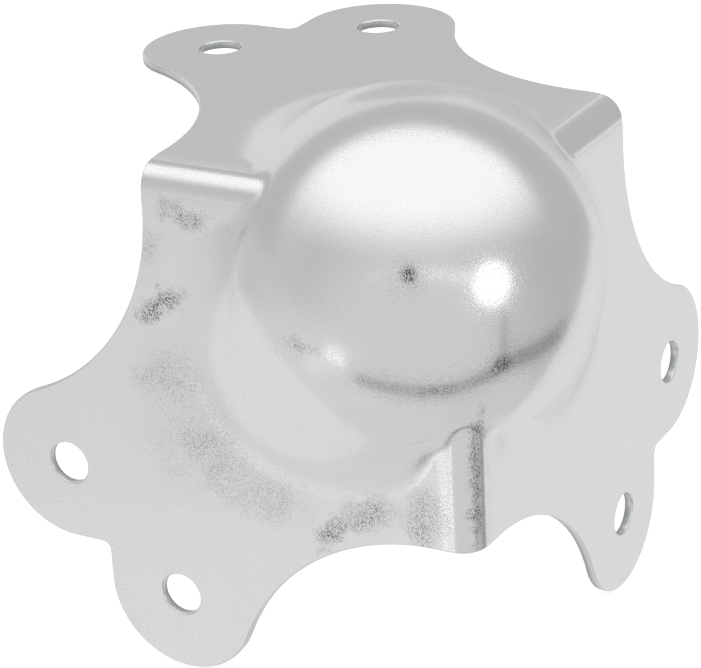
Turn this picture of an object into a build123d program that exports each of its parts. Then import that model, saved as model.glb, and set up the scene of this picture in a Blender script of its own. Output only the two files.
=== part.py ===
from build123d import *
from math import cos, pi, radians, sin, sqrt, tan
import os

# Flight case corner: one blank of steel sheet, drawn into a ball over the corner of the case
# and bent into three equal flanges, each pierced for two rivets, then zinc plated.
# The origin is the inner corner, where the three faces of the case would meet. The flanges lie
# on the case's front (-Y), right (+X) and top (+Z) faces, and the case fills -X, +Y, -Z.

# Driving sizes, in millimetres and degrees. Distances on a flange are from the case's edges.
sheet = 1.0             # thickness of the steel
hole_far = 51.2         # rivet hole from the farther edge of the case
hole_near = 37.2        # rivet hole from the nearer edge of the case
hole_dia = 5.0          # rivet hole
ear_radius = 9.4        # rounded ear about each rivet hole
notch_radius = 1.0      # inner corner between the two ears of a flange
bend_length = 38.2      # from the corner of the case to the end of each bend
bend_straight = 3.8     # square stretch at the end of a bend before the side curves away
bend_radius = 3.0       # outside of the three bends
ball_radius = 21.0      # outside of the drawn ball
ball_proud = 8.0        # how far the ball stands out from each face of the case
draft = 9.0             # how far the skirt below the ball opens, from the corner's diagonal
blend_radius = 3.5      # hollow between the skirt and the flanges, on the outside
edge_break = 0.2        # bevel that tumbling leaves on the outer cut edges

# Worked out from them
margin = 5.0                                        # room past the metal for trimming tools
reach = hole_far + ear_radius + margin              # how far each face is carried before trimming
bulge = ball_proud + margin                         # how far trimming keeps clear of the ball
ball_depth = ball_radius - ball_proud               # centre of the ball from each face of the case
ball_centre = Vector(-ball_depth, -ball_depth, -ball_depth)
slope = tan(radians(draft))
nearby = 1e-4                                       # places nearer than this count as one

# The corner is set out with its outer sides along +X, +Y and +Z, and turned at the end. The
# three flanges are alike, so one is drawn on the top face and turned about the diagonal.
diagonal = Axis((0, 0, 0), (1, 1, 1))
thirds = (0, 120, 240)
top_face = Plane(origin=(0, 0, sheet), x_dir=(-1, 0, 0), z_dir=(0, 0, 1))


def case_block(inset):
    """The case's corner as the sheet wraps it, its edges rounded and its point cut away."""
    face = sheet - inset
    block = Pos(face, face, face) * Box(reach, reach, reach, align=(Align.MAX, Align.MAX, Align.MAX))
    corner = Vertex(face, face, face)
    bends = [edge for edge in block.edges() if edge.distance_to(corner) < nearby]
    # The crown of the ball lies below the point where the faces would meet, so the point is cut
    # away, down inside the ball.
    tip = Cylinder(ball_radius / 2, reach, align=(Align.CENTER, Align.CENTER, Align.MIN))
    return fillet(bends, bend_radius - inset) - Plane(origin=ball_centre, z_dir=(1, 1, 1)) * tip


def ball_and_skirt(inset):
    """A ball on the diagonal whose skirt opens downwards, so the tool can draw it in one stroke."""
    radius = ball_radius - inset
    tilt = radians(draft)
    side = (radius * cos(tilt), radius * sin(tilt))
    crown = (radius * cos(pi / 4 + tilt / 2), radius * sin(pi / 4 + tilt / 2))
    # Drops are measured down the diagonal from the corner. Along the middle of a flange the face
    # drops by sqrt(2) for each millimetre out, so there the skirt meets it lowest, and the skirt
    # is carried on below that by the blend's radius.
    corner = Vector(sheet, sheet, sheet)
    centre_drop = (corner - ball_centre).length
    side_drop = centre_drop - side[1]
    foot_drop = (side[0] - slope * side_drop) / (sqrt(0.5) - slope) + blend_radius
    foot = (side[0] + slope * (foot_drop - side_drop), centre_drop - foot_drop)
    profile = make_face([
        ThreePointArc((0, radius), crown, side),
        Polyline(side, foot, (0, foot[1]), (0, radius)),
    ])
    return Plane(origin=ball_centre, z_dir=(1, 1, 1)) * revolve(Plane.XZ * profile, Axis.Z)


def drawn_form(inset):
    """The outside of the corner, or with an inset the surface that far below it."""
    form = case_block(inset) + ball_and_skirt(inset)
    round_faces = form.faces().filter_by(GeomType.SPHERE) + form.faces().filter_by(GeomType.CONE)
    case_faces = form.faces().filter_by(GeomType.PLANE) + form.faces().filter_by(GeomType.CYLINDER)
    case_edges = [e for f in case_faces for e in f.edges()]
    joint = [e for f in round_faces for e in f.edges() if any(e.is_same(c) for c in case_edges)]
    return fillet(joint, blend_radius + inset)


def flange_outline():
    """One flange, square on two sides past the bends and cut to ears and hollow sides."""
    ear = Vector(hole_far, hole_near)
    # The hollow side is one arc, tangent to the end of the bend and to the ear.
    across = hole_far - bend_length
    along = hole_near - bend_straight
    side_radius = (across ** 2 + along ** 2 - ear_radius ** 2) / (2 * (across + ear_radius))
    side_centre = Vector(bend_length + side_radius, bend_straight)
    to_ear = (ear - side_centre).normalized()
    side_middle = (Vector(-1, 0) + to_ear).normalized()
    start = Vector(bend_length, bend_straight)
    touch = side_centre + to_ear * side_radius
    half = [
        Line((bend_length, -bulge), start),
        ThreePointArc(start, side_centre + side_middle * side_radius, touch),
        Line(touch, ear),
    ]
    swap = Plane(origin=(0, 0, 0), z_dir=(1, -1, 0))
    rest = [
        Line(ear, (hole_near, hole_far)),
        Polyline((-bulge, bend_length), (-bulge, -bulge), (bend_length, -bulge)),
    ]
    outline = make_face(half + [line.mirror(swap) for line in half] + rest)
    # The ears' inner sides run straight to the notch on the flange's diagonal.
    apart = hole_far - hole_near
    inwards = (Align.MIN, Align.MIN)
    outline += Pos(hole_far, hole_near) * Circle(ear_radius)
    outline += Pos(hole_near, hole_far) * Circle(ear_radius)
    outline += Pos(hole_near, hole_near) * Rectangle(apart, ear_radius, align=inwards)
    outline += Pos(hole_near, hole_near) * Rectangle(ear_radius, apart, align=inwards)
    # Swelled by the notch's radius and shrunk again, the notch is left that round.
    swelled = offset(outline.faces()[0], notch_radius, kind=Kind.ARC)
    return offset(swelled, -notch_radius, kind=Kind.ARC)


def trimmings():
    """What blanking and piercing take off the top flange, down past the bends' inside."""
    side = reach + bulge + margin
    middle = (reach - bulge) / 2
    offcut = Pos(middle, middle) * Rectangle(side, side)
    holes = [Pos(*at) * Circle(hole_dia / 2) for at in ((hole_far, hole_near), (hole_near, hole_far))]
    waste = offcut - flange_outline() + holes
    return extrude(top_face * waste, amount=bend_radius + edge_break, both=True)


def corner_shell():
    shell = drawn_form(0) - drawn_form(sheet)
    waste = trimmings()
    for turn in thirds:
        shell -= waste.rotate(diagonal, turn)
    return shell


def outer_rim(shell):
    """The cut edges of the sheet on its outer side: outline, holes and the ends of the bends."""
    bend_crown = sheet - bend_radius * (1 - sqrt(0.5))
    rim = []
    for edge in shell.edges():
        places = sorted(edge @ 0.5)
        on_flange = abs(places[2] - sheet) < nearby
        on_bend = abs(places[2] - bend_crown) < nearby and abs(places[1] - bend_crown) < nearby
        if places[0] < nearby - bend_length and (on_flange or on_bend):
            rim.append(edge)
    return rim


os.makedirs("parts", exist_ok=True)
corner = corner_shell()
corner = chamfer(outer_rim(corner), edge_break)
corner = Rot(0, 0, -90) * corner
corner.label = "corner_shell"
export_step(corner, "parts/corner_shell.step")
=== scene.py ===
import math

import bmesh
import bpy
import numpy as np
from mathutils import Matrix, Vector
from mathutils.geometry import delaunay_2d_cdt


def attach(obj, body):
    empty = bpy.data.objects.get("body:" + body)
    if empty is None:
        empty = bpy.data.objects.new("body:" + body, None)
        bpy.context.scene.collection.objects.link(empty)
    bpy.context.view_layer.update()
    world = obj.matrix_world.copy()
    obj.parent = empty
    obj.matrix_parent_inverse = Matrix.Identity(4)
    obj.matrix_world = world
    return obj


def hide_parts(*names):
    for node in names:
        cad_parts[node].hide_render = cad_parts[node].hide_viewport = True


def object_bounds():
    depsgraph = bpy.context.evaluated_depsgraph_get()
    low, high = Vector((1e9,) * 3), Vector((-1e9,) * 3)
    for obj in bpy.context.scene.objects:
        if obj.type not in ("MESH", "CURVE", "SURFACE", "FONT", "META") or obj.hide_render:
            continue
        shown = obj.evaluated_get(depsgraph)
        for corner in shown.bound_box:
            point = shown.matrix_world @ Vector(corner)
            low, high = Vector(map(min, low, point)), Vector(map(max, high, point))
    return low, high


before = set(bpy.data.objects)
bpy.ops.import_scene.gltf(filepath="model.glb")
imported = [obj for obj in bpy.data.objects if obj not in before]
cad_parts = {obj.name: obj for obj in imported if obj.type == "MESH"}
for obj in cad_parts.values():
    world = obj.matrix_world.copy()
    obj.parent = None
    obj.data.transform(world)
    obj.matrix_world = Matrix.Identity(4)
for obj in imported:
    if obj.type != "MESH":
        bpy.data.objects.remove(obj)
cad_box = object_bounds()

MM = 0.001              # metres in a millimetre

# The pressed corner, in millimetres, as its CAD node has it.
SHEET = 1.0             # thickness of the steel
HOLE_FAR = 51.2         # rivet hole from the farther edge of the case
HOLE_NEAR = 37.2        # rivet hole from the nearer edge of the case
HOLE_DIA = 5.0          # rivet hole
EAR_RADIUS = 9.4        # rounded ear about each rivet hole
NOTCH_RADIUS = 1.0      # inner corner between the two ears of a flange
BEND_LENGTH = 38.2      # from the corner of the case to the end of each bend
BEND_STRAIGHT = 3.8     # square stretch at the end of a bend before the side curves away
BEND_RADIUS = 3.0       # outside of the three bends
BALL_RADIUS = 21.0      # outside of the drawn ball
BALL_DEPTH = 13.0       # centre of the ball from each face of the case
DRAFT = math.radians(12.0)      # how far the skirt below the ball opens
BLEND_MIDDLE = 17.5     # hollow between the skirt and the middle of a flange
BLEND_BEND = 3.0        # hollow where a bend runs into the ball
BLEND_HOLD = 4          # how long the hollow keeps its width, from the middle towards the bends
CREASE_WIDTH = 1.5      # how far before a bend the sheet starts to lean into it
CREASE_LEAN = math.tan(math.radians(6.0))   # slope of that lean at the bend, which starts level again
CREASE_EDGE = 0.05      # how soon past the crease the bend is level

# The cut edge, in millimetres from the outline and from the outer side.
ROLL = 0.25             # edge that the punch draws down with it
SHEARED = 0.45          # band that is cut clean before the metal tears
TORN_BACK = 0.04        # how far the torn band below it stands back
BURR = 0.06             # tumbled edge on the far side

# Steps that the mesh is divided into.
RING_STEPS = 168        # round the blend, over one flange
BEND_STEPS = 8          # over half a bend, up to its crease
BALL_STEPS = 32         # from the crown of the ball to its skirt
SKIRT_STEPS = 3         # down the skirt
BLEND_STEPS = 20        # over the hollow blend
RUN_STEPS = 6           # along a bend
ROLL_STEPS = 5          # over the rolled edge
ARC_STEP = math.radians(3.0)    # along the outline and round the holes
HALVINGS = 50           # of a line, to find where the blend's centre is on it
WELD_DIGITS = 4         # points are one if they agree to so many digits of a millimetre
NEARBY = 1e-7           # and so are points of the flange that are nearer than this

# The corner is set out with its outer sides along +X, +Y and +Z, and the top flange and a third
# of the ball are made and turned about the diagonal.
DIAGONAL = np.ones(3) / math.sqrt(3)
FLANGE_WAY = np.array([-1.0, -1.0, 2.0]) / math.sqrt(6)
ACROSS_WAY = np.cross(DIAGONAL, FLANGE_WAY)
BALL_CENTRE = np.full(3, -BALL_DEPTH)
UP = np.array([0.0, 0.0, 1.0])
MIRROR = [1, 0, 2]          # swaps the top flange's two halves
NEAR_MIRROR = [0, 2, 1]     # swaps the two halves of one of its bends
FAR_MIRROR = [2, 1, 0]      # and of the other


def unit(v):
    return v / np.linalg.norm(v)


def ball_distance(point):
    """How far a point is outside the ball and its skirt, and the way out there."""
    q = point - BALL_CENTRE
    height = q @ DIAGONAL
    across = q - height * DIAGONAL
    if height * math.cos(DRAFT) < np.linalg.norm(across) * math.sin(DRAFT):
        way = unit(across) * math.cos(DRAFT) + DIAGONAL * math.sin(DRAFT)
        return q @ way - BALL_RADIUS, way
    return np.linalg.norm(q) - BALL_RADIUS, unit(q)


def rolled_along(line, blend):
    """Where on a line the blend's centre is, a blend's radius off the skirt."""
    near, far = 0.0, HOLE_FAR
    for _ in range(HALVINGS):
        middle = (near + far) / 2
        if ball_distance(line(middle))[0] < blend:
            near = middle
        else:
            far = middle
    return line(far)


def lean_at(point):
    """How deep the creases by the bends have sunk a point near them, and how steeply it leans."""
    squares = (point - (SHEET - BEND_RADIUS)) ** 2
    past_bend = math.sqrt(max(squares.sum() - squares.max() - BEND_RADIUS ** 2, 0.0))
    left = max(CREASE_WIDTH - past_bend, 0.0) / CREASE_WIDTH
    return CREASE_LEAN * CREASE_WIDTH * left ** 2 / 2, CREASE_LEAN * left


class Station:
    """A place round the blend: its centre and radius, the way out of the flange or bend that it
    runs into, and the way that leads from the crease there."""

    def __init__(self, centre, blend, way, from_crease):
        self.centre, self.blend, self.way, self.from_crease = centre, blend, way, from_crease

    def mirrored(self):
        """The same place on the other half of the flange."""
        return Station(self.centre[MIRROR], self.blend, self.way[MIRROR], self.from_crease[MIRROR])


def stations():
    """Round the top flange, from the middle of its bend on the right to that on the front."""
    axis = SHEET - BEND_RADIUS
    lift = BEND_RADIUS + BLEND_BEND
    edge = CREASE_EDGE / BEND_RADIUS
    half = []
    # Over half a bend the blend is narrow and goes round the bend's axis.
    for angle in [math.pi / 4 * (1 - step / BEND_STEPS) for step in range(BEND_STEPS)] + [edge, 0.0]:
        way = np.array([0.0, math.sin(angle), math.cos(angle)])
        y, z = axis + lift * way[1], axis + lift * way[2]
        centre = rolled_along(lambda run: np.array([-run, y, z]), BLEND_BEND)
        half.append(Station(centre, BLEND_BEND, way, np.array([1.0, 0.0, 0.0])))
    # Over half the flange it widens towards the middle, and its foot stays on the flat.
    q = half[-1].centre - BALL_CENTRE
    first = math.atan2(q @ ACROSS_WAY, q @ FLANGE_WAY)
    for step in range(1, RING_STEPS // 2 + 1):
        share = 1 - 2 * step / RING_STEPS
        blend = BLEND_BEND + (BLEND_MIDDLE - BLEND_BEND) * (1 - share ** BLEND_HOLD) ** 2
        out = FLANGE_WAY * math.cos(first * share) + ACROSS_WAY * math.sin(first * share)
        rise = DIAGONAL * out[2] / DIAGONAL[2]
        foot = BALL_CENTRE + DIAGONAL * (SHEET + blend + BALL_DEPTH) / DIAGONAL[2]
        centre = rolled_along(lambda run: foot + run * (out - rise), blend)
        half.append(Station(centre, blend, UP, np.array([0.0, -1.0, 0.0])))
    return half + [station.mirrored() for station in reversed(half[:-1])]


def down_the_ball(station):
    """Points and ways out, from the crown of the ball over skirt and blend to the flange."""
    centre, blend, case_way = station.centre, station.blend, station.way
    ball_way = ball_distance(centre)[1]
    q = centre - BALL_CENTRE
    out = unit(q - (q @ DIAGONAL) * DIAGONAL)
    low = max(DRAFT, math.asin(min(1.0, ball_way @ DIAGONAL)))
    line = []
    for step in range(BALL_STEPS + 1):
        angle = math.pi / 2 + (low - math.pi / 2) * step / BALL_STEPS
        way = out * math.cos(angle) + DIAGONAL * math.sin(angle)
        line.append((BALL_CENTRE + BALL_RADIUS * way, way))
    # Where the blend starts on the ball itself, the skirt has no length.
    side, touch = line[-1][0], centre - blend * ball_way
    for step in range(1, SKIRT_STEPS + 1):
        line.append((side + (touch - side) * step / SKIRT_STEPS, ball_way))
    whole = math.acos(ball_way @ case_way)
    for step in range(1, BLEND_STEPS + 1):
        turned = whole * step / BLEND_STEPS
        way = (math.sin(whole - turned) * ball_way + math.sin(turned) * case_way) / math.sin(whole)
        point = centre - blend * way
        depth, lean = lean_at(point)
        line.append((point - depth * way, way))
    foot = line[-1][0]
    line[-1] = (foot, unit(case_way - lean * station.from_crease))
    return line


def face_blend(lines):
    """In the blend, whose radius changes, ways out come from the neighbours' places."""
    start = BALL_STEPS + SKIRT_STEPS + 1
    before = [(point[NEAR_MIRROR], way) for point, way in lines[1]]
    after = [(point[FAR_MIRROR], way) for point, way in lines[-2]]
    padded = [before] + lines + [after]
    faced = [list(line) for line in lines]
    for i, line in enumerate(lines):
        for j in range(start, len(line) - 1):
            down = line[j + 1][0] - line[j - 1][0]
            round_ball = padded[i + 2][j][0] - padded[i][j][0]
            way = unit(np.cross(down, round_ball))
            point, guess = line[j]
            faced[i][j] = (point, way if way @ guess > 0 else -way)
    return faced


def arc(centre, radius, start, end, hollow=False):
    """Points of an arc on a flange, each with the way out of the metal there."""
    steps = math.ceil(abs(end - start) / ARC_STEP)
    line = []
    for step in range(steps + 1):
        angle = start + (end - start) * step / steps
        way = np.array([math.cos(angle), math.sin(angle)])
        line.append((np.array(centre) + radius * way, -way if hollow else way))
    return line


def half_outline():
    """The cut outline of a flange, from where its side curves off a bend to its notch."""
    across = HOLE_FAR - BEND_LENGTH
    along = HOLE_NEAR - BEND_STRAIGHT
    side_radius = (across ** 2 + along ** 2 - EAR_RADIUS ** 2) / (2 * (across + EAR_RADIUS))
    side_centre = (BEND_LENGTH + side_radius, BEND_STRAIGHT)
    to_ear = math.atan2(HOLE_NEAR - side_centre[1], HOLE_FAR - side_centre[0])
    notch = HOLE_NEAR + EAR_RADIUS + NOTCH_RADIUS
    line = arc(side_centre, side_radius, math.pi, to_ear, hollow=True)
    line += arc((HOLE_FAR, HOLE_NEAR), EAR_RADIUS, to_ear - math.pi, math.pi / 2)[1:]
    line += arc((notch, notch), NOTCH_RADIUS, -math.pi / 2, -math.pi * 3 / 4, hollow=True)
    return line


def edge_profile():
    """The cut edge: how far back, how deep and which way it faces, from the outer side inwards."""
    rows = []
    for step in range(ROLL_STEPS + 1):
        angle = math.pi / 2 * step / ROLL_STEPS
        rows.append((ROLL * (1 - math.sin(angle)), ROLL * (1 - math.cos(angle)), angle))
    rows.append((0.0, SHEARED, math.pi / 2))
    rows.append((TORN_BACK, SHEARED + TORN_BACK, math.pi / 2))
    for step in range(ROLL_STEPS + 1):
        angle = math.pi / 2 * step / ROLL_STEPS
        back, depth = TORN_BACK + BURR * (1 - math.cos(angle)), SHEET - BURR * (1 - math.sin(angle))
        rows.append((back, depth, math.pi / 2 + angle))
    return rows


class Sheet:
    """The sheet's two sides and its cut edges, gathered as points, ways out and faces.

    A spot of the sheet is a point of its outer side, the way out of it, and, on a cut edge, the
    way out of the outline, or else None.
    """

    def __init__(self):
        self.points, self.ways, self.cuts, self.faces = [], [], [], []

    def put(self, point, way, cut=0.0):
        """Adds a point, the way out of the metal there and how bare its cut is; gives its number."""
        self.points.append(point)
        self.ways.append(way)
        self.cuts.append(cut)
        return len(self.points) - 1

    def put_sides(self, spots):
        """The outer and the inner side's point numbers of a row of spots."""
        first, last = edge_profile()[0], edge_profile()[-1]
        outer, inner = [], []
        for point, way, out in spots:
            edge = np.zeros(3) if out is None else out
            outer.append(self.put(point - first[0] * edge, way))
            inner.append(self.put(point - last[0] * edge - SHEET * way, -way))
        return outer, inner

    def join(self, rows):
        """Faces between rows of point numbers."""
        for row, following in zip(rows, rows[1:]):
            for i in range(len(row) - 1):
                self.faces.append((row[i], row[i + 1], following[i + 1], following[i]))

    def cover(self, grid):
        """Both sides over a grid of spots."""
        sides = [self.put_sides(row) for row in grid]
        self.join([outer for outer, inner in sides])
        self.join([inner for outer, inner in sides])

    def cut(self, spots):
        """The cut edge along a row of spots: plated where it rolls in, barer further down."""
        rows = []
        for back, depth, turned in edge_profile():
            row = []
            for point, way, out in spots:
                facing = out * math.sin(turned) + way * math.cos(turned)
                bare = min(depth / SHEET, 1.0) * math.sin(turned)
                row.append(self.put(point - back * out - depth * way, facing, bare))
            rows.append(row)
        self.join(rows)

    def fill(self, loops):
        """Both sides over a flat region, inside its first loop of spots and outside the others."""
        spots = [spot for loop in loops for spot in loop]
        outer, inner = self.put_sides(spots)
        places = [Vector(self.points[i][:2]) for i in outer]
        bounds, start = [], 0
        for loop in loops:
            bounds.append(list(range(start, start + len(loop))))
            start += len(loop)
        inside_with_holes = 2
        made = delaunay_2d_cdt(places, [], bounds, inside_with_holes, NEARBY)
        faces, given = made[2], made[3]
        for corners in faces:
            numbers = [given[c][0] for c in corners]
            self.faces.append(tuple(outer[n] for n in numbers))
            self.faces.append(tuple(inner[n] for n in numbers))


def on_flange(place, way=None):
    """A place on the top flange, given from the case's edges, and the way out of the outline."""
    out = None if way is None else np.array([-way[0], -way[1], 0.0])
    return np.array([-place[0], -place[1], SHEET]), UP, out


def make_third():
    """The top flange with half of each of its bends and a third of the ball."""
    sheet = Sheet()
    places = stations()
    lines = face_blend([down_the_ball(station) for station in places])
    sheet.cover([[(point, way, None) for point, way in line] for line in lines])
    feet = [line[-1] for line in lines]

    # Half a bend and the lean beside it run from the blend to the cut end, and their mirror
    # image on the far side.
    strip, strip_end = [], []
    outwards = np.array([-1.0, 0.0, 0.0])
    for station, (foot, foot_way) in zip(places, feet):
        on_flat = station.way[1] == 0.0
        past_bend = SHEET - BEND_RADIUS - foot[1]
        lean = CREASE_LEAN * max(1 - past_bend / CREASE_WIDTH, 0.0) if on_flat else 0.0
        way = unit(station.way + lean * np.array([0.0, 1.0, 0.0]))
        near, end = foot + CREASE_EDGE * outwards, np.array([-BEND_LENGTH, foot[1], foot[2]])
        row = [(near + (end - near) * step / RUN_STEPS, way, None) for step in range(RUN_STEPS)]
        strip.append([(foot, foot_way, None)] + row + [(end, way, outwards)])
        strip_end.append((end, way, outwards))
        if on_flat and lean == 0.0:
            break
    mirrored = [[mirror_spot(spot) for spot in row] for row in strip]
    sheet.cover(strip)
    sheet.cover(mirrored)

    half = [on_flange(place, way) for place, way in half_outline()]
    outline = half + [mirror_spot(spot) for spot in reversed(half[:-1])]
    ring = [(foot, way, None) for foot, way in feet[len(strip) - 1:len(feet) - len(strip) + 1]]
    near_side, far_side = strip[-1], mirrored[-1]
    loops = [near_side[1:] + outline + far_side[:0:-1] + ring[::-1]]
    for at in ((HOLE_FAR, HOLE_NEAR), (HOLE_NEAR, HOLE_FAR)):
        hole = arc(at, HOLE_DIA / 2, 0.0, 2 * math.pi, hollow=True)
        spots = [on_flange(place, way) for place, way in hole]
        sheet.cut(spots)
        loops.append(spots[:-1])
    sheet.fill(loops)
    sheet.cut(strip_end + outline + [mirror_spot(spot) for spot in reversed(strip_end)])
    return sheet


def mirror_spot(spot):
    """The same spot on the other half of the flange."""
    point, way, out = spot
    return point[MIRROR], way[MIRROR], None if out is None else out[MIRROR]


def make_corner():
    """Three thirds, welded along the bends, as one mesh in the CAD node's place."""
    third = make_third()
    points, ways, cuts, faces = [], [], [], []
    for turn in range(3):
        shift = len(third.points) * turn
        points += [np.roll(point, turn) for point in third.points]
        ways += [np.roll(way, turn) for way in third.ways]
        cuts += third.cuts
        faces += [[number + shift for number in face] for face in third.faces]
    points, ways = np.array(points), np.array(ways)
    rounded = np.round(points, WELD_DIGITS)
    first, number = np.unique(rounded, axis=0, return_index=True, return_inverse=True)[1:]
    number = number.ravel()
    points, ways, cuts = points[first], ways[first], np.array(cuts)[first]
    kept = []
    for face in faces:
        corners = list(dict.fromkeys(int(number[i]) for i in face))
        if len(corners) > 2:
            kept.append(corners)
    # From the setting-out to the case's own front, right and top.
    points = np.stack([points[:, 1], -points[:, 0], points[:, 2]], axis=1) * MM
    ways = np.stack([ways[:, 1], -ways[:, 0], ways[:, 2]], axis=1)
    mesh = bpy.data.meshes.new("pressed_corner")
    mesh.from_pydata(points.tolist(), [], kept)
    work = bmesh.new()
    work.from_mesh(mesh)
    bmesh.ops.recalc_face_normals(work, faces=work.faces)
    work.to_mesh(mesh)
    work.free()
    mesh.shade_smooth()
    mesh.normals_split_custom_set_from_vertices(ways.tolist())
    mesh.attributes.new("cut_edge", "FLOAT", "POINT").data.foreach_set("value", cuts)
    corner = bpy.data.objects.new("pressed_corner", mesh)
    bpy.context.scene.collection.objects.link(corner)
    return corner


# Colours and roughness of the steel.
PLATED = "#F6F8F7"      # bright zinc
DARK_GRAIN_AND_SHADE = "#6E716F"     # zinc darkened in the grain, and painted shade in the patches below
BARE = "#A6A9A7"        # steel that the punch has bared
BRIGHT = 0.08           # roughness of the plating where it is brightest
SATIN = 0.15            # roughness of the plating in a cloud
TORN = 0.4              # roughness of a cut edge

# Its patterns.
GRAIN = 0.16 * MM       # grain of the plating, near 0.1 mm, drawn this coarse so that it shows
CLOUD = 7.0 * MM        # clouds in the plating
RAGGED = 2.5 * MM       # bays in the edges of the patches of painted shade
CLEAN_DULL = 0.09       # dullness away from the patches of painted shade
CLEAN_RELIEF = 0.005    # height of the grain away from them, in millimetres
DULL_RELIEF = 0.010     # and what a dullness of 1 adds to it
MARK_END = 1.4          # how far out a patch of painted shade ends, in half lengths and half widths

# Painted shade, where dents and waves of the sheet reflect the dark of the room: on the front flange unless
# it says otherwise, the place, half length and half width in millimetres, the tilt in degrees and how dark
# the middle is.
PAINTED_SHADE_PATCHES = [
    ((-32.6, -1.0, -4.2), 4.4, 1.5, -10, 0.9),
    ((-37.8, -1.0, -8.4), 2.2, 3.2, 0, 0.6),
    ((-37.4, -1.0, -15.2), 4.2, 1.6, 36, 2.4),
    ((-36.0, -1.0, -24.0), 5.5, 4.2, 0, 0.85),
    ((-34.5, -1.0, -28.5), 8.0, 12.0, 0, 0.45),
    ((-31.6, -1.0, -32.0), 9.0, 4.5, -42, 0.85),
    ((-25.5, -1.0, -36.0), 8.0, 4.0, 0, 0.6),
    ((-16.9, -1.0, -38.8), 3.4, 1.4, 50, 1.5),
    ((-12.0, -1.0, -35.6), 5.5, 2.3, 15, 0.95),
    ((-5.2, -1.0, -34.5), 3.0, 4.5, 0, 1.0),
    ((-15.2, -7.7, -13.4), 3.6, 1.7, 12, 0.8),      # on the ball
    ((0.6, 0.5, -30.0), 9.0, 1.1, 90, 1.7),         # along the front bend
]


def hex_colour(code):
    """An sRGB hex colour as linear red, green, blue and alpha."""
    values = [int(code[i:i + 2], 16) / 255 for i in (1, 3, 5)]
    return [v / 12.92 if v <= 0.04045 else ((v + 0.055) / 1.055) ** 2.4 for v in values] + [1.0]


def add_node(tree, kind, inputs=None, **settings):
    """Adds a node with its settings, and fills or links its inputs."""
    node = tree.nodes.new(kind)
    for name, value in settings.items():
        setattr(node, name, value)
    for name, value in (inputs or {}).items():
        if isinstance(value, bpy.types.NodeSocket):
            tree.links.new(value, node.inputs[name])
        else:
            node.inputs[name].default_value = value
    return node


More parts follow.
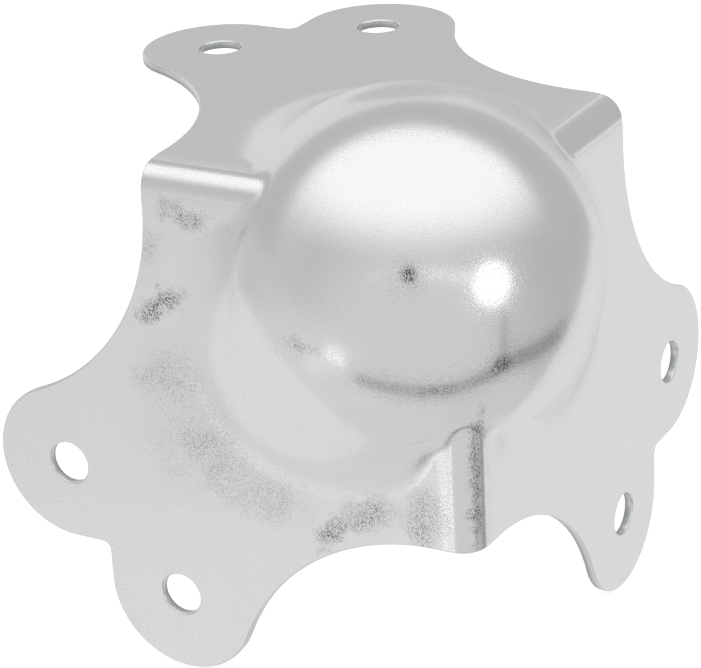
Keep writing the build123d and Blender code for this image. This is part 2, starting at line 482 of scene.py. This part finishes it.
def zinc_plated_steel():
    """Cold-rolled steel, drawn and bright zinc plated: a soft pale mirror with a fine grain.

    The grain breaks up the edges of what it reflects, and clouds in the plating change its gloss.
    It has painted shade, darker and with coarser grain, where dents and waves in the sheet reflect the
    dark of the room, and it is darker and rough where it was cut.
    """
    material = bpy.data.materials.new("zinc_plated_steel")
    material.use_nodes = True
    tree = material.node_tree
    shader = tree.nodes["Principled BSDF"]
    shader.inputs["Metallic"].default_value = 1.0
    place = add_node(tree, "ShaderNodeTexCoord").outputs["Object"]

    # The tops of the grain stand up as specks.
    grain = add_node(tree, "ShaderNodeTexNoise", {
        "Vector": place, "Scale": 1 / GRAIN, "Detail": 1.0}).outputs[0]
    speck = add_node(tree, "ShaderNodeMapRange", {
        "Value": grain, "From Min": 0.50, "From Max": 0.70}).outputs["Result"]
    cloud = add_node(tree, "ShaderNodeTexNoise", {
        "Vector": place, "Scale": 1 / CLOUD, "Detail": 3.0, "Roughness": 0.55}).outputs[0]

    # The edges of the patches of painted shade wander in and out by up to this many millimetres.
    ragged = add_node(tree, "ShaderNodeTexNoise", {
        "Vector": place, "Scale": 1 / RAGGED, "Detail": 3.0, "Roughness": 0.6}).outputs[0]
    ragged = add_node(tree, "ShaderNodeMapRange", {
        "Value": ragged, "From Min": 0.3, "From Max": 0.7,
        "To Min": -0.8, "To Max": 1.0}).outputs["Result"]

    # Each patch of painted shade fades outwards from its middle, and the darkest one counts.
    shade_level = CLEAN_DULL
    for middle, half_length, half_width, tilt, most in PAINTED_SHADE_PATCHES:
        within = add_node(tree, "ShaderNodeMapping", {
            "Vector": place, "Location": Vector(middle) * MM,
            "Rotation": (0.0, -math.radians(tilt), 0.0),
            "Scale": Vector((half_length, half_width, half_width)) * MM},
            vector_type="TEXTURE").outputs[0]
        away = add_node(tree, "ShaderNodeVectorMath", {0: within}, operation="LENGTH").outputs["Value"]
        away = add_node(tree, "ShaderNodeMath", {
            0: ragged, 1: 1 / half_width, 2: away}, operation="MULTIPLY_ADD").outputs[0]
        mark = add_node(tree, "ShaderNodeMapRange", {
            "Value": away, "From Min": MARK_END, "From Max": 0.0, "To Max": most},
            interpolation_type="SMOOTHSTEP").outputs["Result"]
        shade_level = add_node(tree, "ShaderNodeMath", {0: mark, 1: shade_level}, operation="MAXIMUM").outputs[0]

    # The plating is uneven, so the painted shade shows more in some of its clouds, and it lies in the
    # grain.
    patchy = add_node(tree, "ShaderNodeMapRange", {
        "Value": cloud, "From Min": 0.35, "From Max": 0.6, "To Min": 0.55}).outputs["Result"]
    shade_level = add_node(tree, "ShaderNodeMath", {0: shade_level, 1: patchy}, operation="MULTIPLY").outputs[0]
    grain_share = add_node(tree, "ShaderNodeMapRange", {
        "Value": grain, "From Min": 0.42, "From Max": 0.70, "To Min": 0.06}).outputs["Result"]
    speckled = add_node(tree, "ShaderNodeMath", {0: shade_level, 1: grain_share}, operation="MULTIPLY").outputs[0]
    # Painted shade: the plated colour turns towards the dark tint in the grain and in the patches.
    plated = add_node(tree, "ShaderNodeMix", {
        "Factor": speckled, "A": hex_colour(PLATED), "B": hex_colour(DARK_GRAIN_AND_SHADE)},
        data_type="RGBA").outputs[2]

    # Cut edges are darker and duller than the rolled sides.
    cut = add_node(tree, "ShaderNodeAttribute", attribute_name="cut_edge").outputs["Fac"]
    colour = add_node(tree, "ShaderNodeMix", {
        "Factor": cut, "A": plated, "B": hex_colour(BARE)}, data_type="RGBA").outputs[2]
    tree.links.new(colour, shader.inputs["Base Color"])
    rough = add_node(tree, "ShaderNodeMapRange", {
        "Value": cloud, "To Min": BRIGHT, "To Max": SATIN}).outputs["Result"]
    rough = add_node(tree, "ShaderNodeMix", {0: cut, 2: rough, 3: TORN}).outputs[0]
    tree.links.new(rough, shader.inputs["Roughness"])

    relief = add_node(tree, "ShaderNodeMath", {
        0: shade_level, 1: DULL_RELIEF, 2: CLEAN_RELIEF}, operation="MULTIPLY_ADD").outputs[0]
    height = add_node(tree, "ShaderNodeMath", {0: speck, 1: relief}, operation="MULTIPLY").outputs[0]
    bump = add_node(tree, "ShaderNodeBump", {"Height": height, "Strength": 1.0, "Distance": MM})
    tree.links.new(bump.outputs[0], shader.inputs["Normal"])
    return material


def look(azimuth, elevation):
    """The way from the object to a place in the studio. Azimuth 0 is in front, 90 to its right."""
    a, e = math.radians(azimuth), math.radians(elevation)
    return Vector((math.sin(a) * math.cos(e), -math.cos(a) * math.cos(e), math.sin(e)))


def faded(azimuth, elevation, low, high):
    """One soft edge: nothing where the cosine to this direction is low, all where it is high."""
    return [(look(azimuth, elevation), low, high)]


def spot(azimuth, elevation, inner, outer):
    """A round patch, its radii in degrees."""
    return faded(azimuth, elevation, math.cos(math.radians(outer)), math.cos(math.radians(inner)))


def above(low, high):
    """All that is higher than a level line, faded between two elevations."""
    return faded(0, 90, math.sin(math.radians(low)), math.sin(math.radians(high)))


def below(low, high):
    """All that is lower than a level line, faded between two elevations."""
    return faded(0, -90, -math.sin(math.radians(high)), -math.sin(math.radians(low)))


def line(start, end, inner, outer):
    """A straight line between two directions, its half widths in degrees."""
    one, two = look(*start), look(*end)
    side = one.cross(two).normalized()
    thin, thick = math.sin(math.radians(inner)), math.sin(math.radians(outer))
    return [(side, -thick, -thin), (-side, -thick, -thin),
            (side.cross(one), -thick, thick), (two.cross(side), -thick, thick)]


ROOM = 0.53             # light of the room where nothing else is
# The studio, painted from back to front: the soft edges of each patch and the light it gives.
STUDIO = [
    (spot(25, -15, 25, 75), 0.645),                         # front of the room
    (spot(-75, 5, 15, 45), 0.575),                          # darker to the left
    (spot(145, 5, 25, 50), 0.49),                           # and to the right
    (spot(-45, -45, 20, 50), 0.68),                         # pale table before it
    (spot(-38, -33, 3, 9), 0.77),                           # its palest part
    (below(-64, -56), 0.665),                               # and under it
    (spot(-97, -43, 26, 31), 0.755),                        # bright card on the left
    (spot(166, -37, 24, 30), 0.75),                         # and on the right
    (spot(-168, 79, 38, 74), 1.02),                         # softbox overhead
    (faded(211, -28, -0.13, 0.10) + above(4, 12), 0.50),    # dark of the room behind it
    (spot(-143, -10, 45, 50), 0.72),                        # bright card behind
    (spot(-165, 2, 5, 22), 0.56),                           # darker place on it
    (spot(-150, 20, 9, 13), 0.545),                         # and another above
    (spot(76.2, 8, 8, 15), 1.4),                            # lamp
    (spot(-20.5, -28, 2.5, 8), 1.0),                        # small lamp
    (spot(98, -60, 12, 22), 0.62),                          # table's right side
    (line((-12, -40), (24, -49), 2, 6), 0.34),              # its front edge on the left
    (line((24, -50), (60, -49), 2, 6), 0.26),               # in the middle
    (line((60, -49), (90, -36), 2, 6), 0.30),               # and on the right
    (line((90, -36), (130, -27), 2, 7), 0.26),              # its right edge
    (line((80, -8), (84, -34), 0, 4), 0.36),                # the lamp's stand
    (spot(85, -38, 2, 7), 0.05),                            # and its foot
    (line((2, 18), (26.75, 24), 0, 6), 0.71),               # pale rim left of the camera
    (line((26.75, 24), (66, 14), 1, 6), 0.84),              # and right of it
    (spot(26.75, 22, 3, 6), 0.0),                           # the camera
]

WHITE = "#FFFFFF"       # paper behind the corner, and light without a tint
PAPER = "#F4F4F4"       # paper that the corner stands on
PAPER_GLOW = 0.55       # brings that paper up to the white behind it, but for the shadow

TABLE_FRONT = 400.0     # how far the table reaches to each side of the origin, in millimetres
TABLE_BACK = 900.0
TABLE_SIDE = 600.0
TABLE_GAP = 0.1         # how far it lies below the corner's lowest edge

# The view of the photograph, fitted to the rims of the rivet holes and to the flanges' outlines.
CAMERA_PLACE = (117.71, -224.92, 99.93)     # in millimetres
CAMERA_AZIMUTH = 30.27                      # the way back from the corner to it, in degrees
CAMERA_ELEVATION = 23.81
CAMERA_ROLL = -3.089
CAMERA_LENS = 138.95                        # in millimetres
CAMERA_SENSOR = 36.0


def make_world():
    """The studio for all that the metal reflects, and plain white where the camera looks past it."""
    world = bpy.data.worlds.new("studio")
    bpy.context.scene.world = world
    world.use_nodes = True
    tree = world.node_tree
    tree.nodes.clear()
    direction = add_node(tree, "ShaderNodeTexCoord").outputs["Generated"]
    level = ROOM
    for edges, light in STUDIO:
        mask = None
        for way, low, high in edges:
            along = add_node(tree, "ShaderNodeVectorMath", {0: direction, 1: way}, operation="DOT_PRODUCT")
            edge = add_node(tree, "ShaderNodeMapRange", {
                "Value": along.outputs["Value"], "From Min": low, "From Max": high},
                interpolation_type="SMOOTHSTEP").outputs["Result"]
            if mask is None:
                mask = edge
            else:
                mask = add_node(tree, "ShaderNodeMath", {0: mask, 1: edge}, operation="MULTIPLY").outputs[0]
        level = add_node(tree, "ShaderNodeMix", {0: mask, 2: level, 3: light}).outputs[0]
    white = hex_colour(WHITE)
    studio = add_node(tree, "ShaderNodeBackground", {"Color": white, "Strength": level}).outputs[0]
    backdrop = add_node(tree, "ShaderNodeBackground", {"Color": white, "Strength": 1.0}).outputs[0]
    seen = add_node(tree, "ShaderNodeLightPath").outputs["Is Camera Ray"]
    mix = add_node(tree, "ShaderNodeMixShader", {0: seen, 1: studio, 2: backdrop})
    add_node(tree, "ShaderNodeOutputWorld", {"Surface": mix.outputs[0]})


def make_camera():
    """The photograph's view: a long lens, a little above the corner and to its right."""
    data = bpy.data.cameras.new("camera")
    data.sensor_width = CAMERA_SENSOR
    data.lens = CAMERA_LENS
    data.clip_start = 0.01
    data.clip_end = 10.0
    azimuth, roll = math.radians(CAMERA_AZIMUTH), math.radians(CAMERA_ROLL)
    back = look(CAMERA_AZIMUTH, CAMERA_ELEVATION)
    level = Vector((math.cos(azimuth), math.sin(azimuth), 0.0))
    rise = back.cross(level)
    right = level * math.cos(roll) + rise * math.sin(roll)
    up = rise * math.cos(roll) - level * math.sin(roll)
    turn = Matrix((right, up, back)).transposed().to_4x4()
    camera = bpy.data.objects.new("camera", data)
    camera.matrix_world = Matrix.Translation(Vector(CAMERA_PLACE) * MM) @ turn
    bpy.context.scene.collection.objects.link(camera)
    bpy.context.scene.camera = camera


def white_paper():
    """Matt white paper. Only the camera sees it, so the metal reflects the studio's own table."""
    material = bpy.data.materials.new("white_paper")
    material.use_nodes = True
    tree = material.node_tree
    tree.nodes.clear()
    paper = add_node(tree, "ShaderNodeBsdfDiffuse", {"Color": hex_colour(PAPER)})
    glow = add_node(tree, "ShaderNodeEmission", {"Strength": PAPER_GLOW})
    lit = add_node(tree, "ShaderNodeAddShader", {0: paper.outputs[0], 1: glow.outputs[0]}).outputs[0]
    unseen = add_node(tree, "ShaderNodeBsdfTransparent").outputs[0]
    seen = add_node(tree, "ShaderNodeLightPath").outputs["Is Camera Ray"]
    mix = add_node(tree, "ShaderNodeMixShader", {0: seen, 1: unseen, 2: lit})
    add_node(tree, "ShaderNodeOutputMaterial", {"Surface": mix.outputs[0]})
    return material


def make_table():
    """A pale table top that the corner stands on, which keeps its shadow."""
    front, back, side = -TABLE_FRONT * MM, TABLE_BACK * MM, TABLE_SIDE * MM
    low = cad_box[0].z - TABLE_GAP * MM
    mesh = bpy.data.meshes.new("table")
    corners = [(-side, front, low), (side, front, low), (side, back, low), (-side, back, low)]
    mesh.from_pydata(corners, [], [(0, 1, 2, 3)])
    mesh.materials.append(white_paper())
    table = bpy.data.objects.new("table", mesh)
    bpy.context.scene.collection.objects.link(table)


corner = make_corner()
make_table()
corner.data.materials.append(zinc_plated_steel())
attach(corner, "root")
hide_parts("corner_shell")
make_world()
make_camera()
bpy.context.scene.view_settings.view_transform = "Standard"
